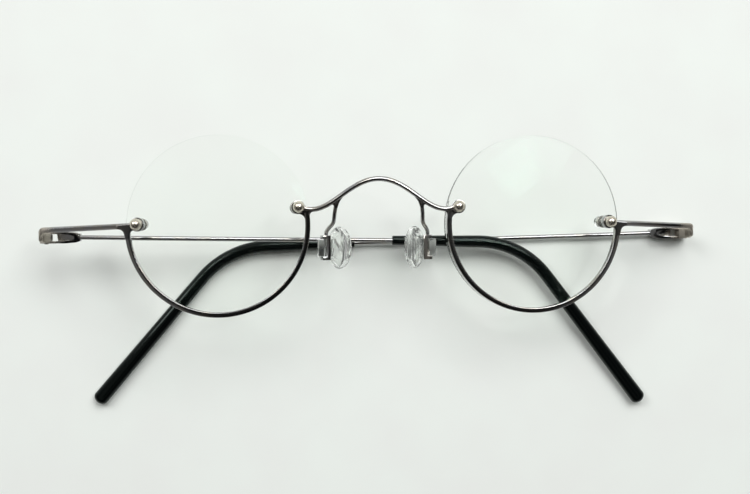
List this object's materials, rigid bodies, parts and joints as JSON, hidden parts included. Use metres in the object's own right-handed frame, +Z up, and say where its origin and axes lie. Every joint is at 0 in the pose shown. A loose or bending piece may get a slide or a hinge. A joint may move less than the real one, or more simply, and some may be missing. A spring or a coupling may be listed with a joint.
{
  "type": "reading glasses",
  "caption": "Round-lens semi-rimless reading glasses with a wire bridge, half rims under the lenses, rocking nose pads and folded wire temples with black tips.",
  "frame": {"origin": "centre of the footprint, on the surface that the folded glasses lie on", "axes": "+X to the wearer's left, across the folded glasses; +Y towards the wearer's brow; +Z up, out through the front of the lenses"},
  "size_m": [0.133, 0.0558, 0.0196],
  "materials": {
    "gunmetal_plating": "glossy dark grey plating on drawn wire",
    "polished_nickel": "polished warm nickel",
    "steel": "plain bright steel",
    "clear_lens": "clear polished lens resin",
    "clear_nylon": "clear moulded plastic",
    "clear_polycarbonate": "clear hard moulded plastic",
    "clear_silicone": "clear soft silicone",
    "black_acetate": "glossy black"
  },
  "bodies": {
    "front": {"bridge": "gunmetal_plating", "left_lens": "clear_lens", "left_half_rim": "gunmetal_plating", "left_end_piece": "gunmetal_plating", "left_hinge_barrel": "gunmetal_plating", "left_outer_ball_screw": "polished_nickel", "left_outer_front_washer": "clear_nylon", "left_outer_back_washer": "clear_nylon", "left_outer_nut": "steel", "left_outer_cap": "clear_nylon", "left_nose_ball_screw": "polished_nickel", "left_nose_front_washer": "clear_nylon", "left_nose_back_washer": "clear_nylon", "left_nose_nut": "steel", "left_nose_cap": "clear_nylon", "left_pad_arm": "gunmetal_plating", "left_pad_box": "gunmetal_plating", "right_lens": "clear_lens", "right_half_rim": "gunmetal_plating", "right_end_piece": "gunmetal_plating", "right_hinge_barrel": "gunmetal_plating", "right_outer_ball_screw": "polished_nickel", "right_outer_front_washer": "clear_nylon", "right_outer_back_washer": "clear_nylon", "right_outer_nut": "steel", "right_outer_cap": "clear_nylon", "right_nose_ball_screw": "polished_nickel", "right_nose_front_washer": "clear_nylon", "right_nose_back_washer": "clear_nylon", "right_nose_nut": "steel", "right_nose_cap": "clear_nylon", "right_pad_arm": "gunmetal_plating", "right_pad_box": "gunmetal_plating"},
    "left_pad": {"left_pad_core": "clear_polycarbonate", "left_pad_cushion": "clear_silicone"},
    "right_pad": {"right_pad_core": "clear_polycarbonate", "right_pad_cushion": "clear_silicone"},
    "left_temple": {"left_temple_fork": "gunmetal_plating", "left_hinge_screw": "steel", "left_temple_wire": "gunmetal_plating", "left_temple_tip": "black_acetate"},
    "right_temple": {"right_temple_fork": "gunmetal_plating", "right_hinge_screw": "steel", "right_temple_wire": "gunmetal_plating", "right_temple_tip": "black_acetate"}
  },
  "joints": [
    {"name": "left_temple_fold", "type": "hinge", "parent": "front", "child": "left_temple", "pos_m": [0.06526, 0.00796, 0.00125], "axis": [0, -1, 0], "range_deg": [0, 89.3]},
    {"name": "right_temple_fold", "type": "hinge", "parent": "front", "child": "right_temple", "pos_m": [-0.06527, 0.00796, 0.00969], "axis": [0, 1, 0], "range_deg": [0, 92.8]},
    {"name": "left_pad_rock", "type": "hinge", "parent": "front", "child": "left_pad", "pos_m": [0.01028, 0.00562, 0.01083], "axis": [0, 1, 0], "range_deg": [-8, 8]},
    {"name": "right_pad_rock", "type": "hinge", "parent": "front", "child": "right_pad", "pos_m": [-0.00951, 0.00562, 0.01211], "axis": [0, -1, 0], "range_deg": [-8, 8]}
  ]
}
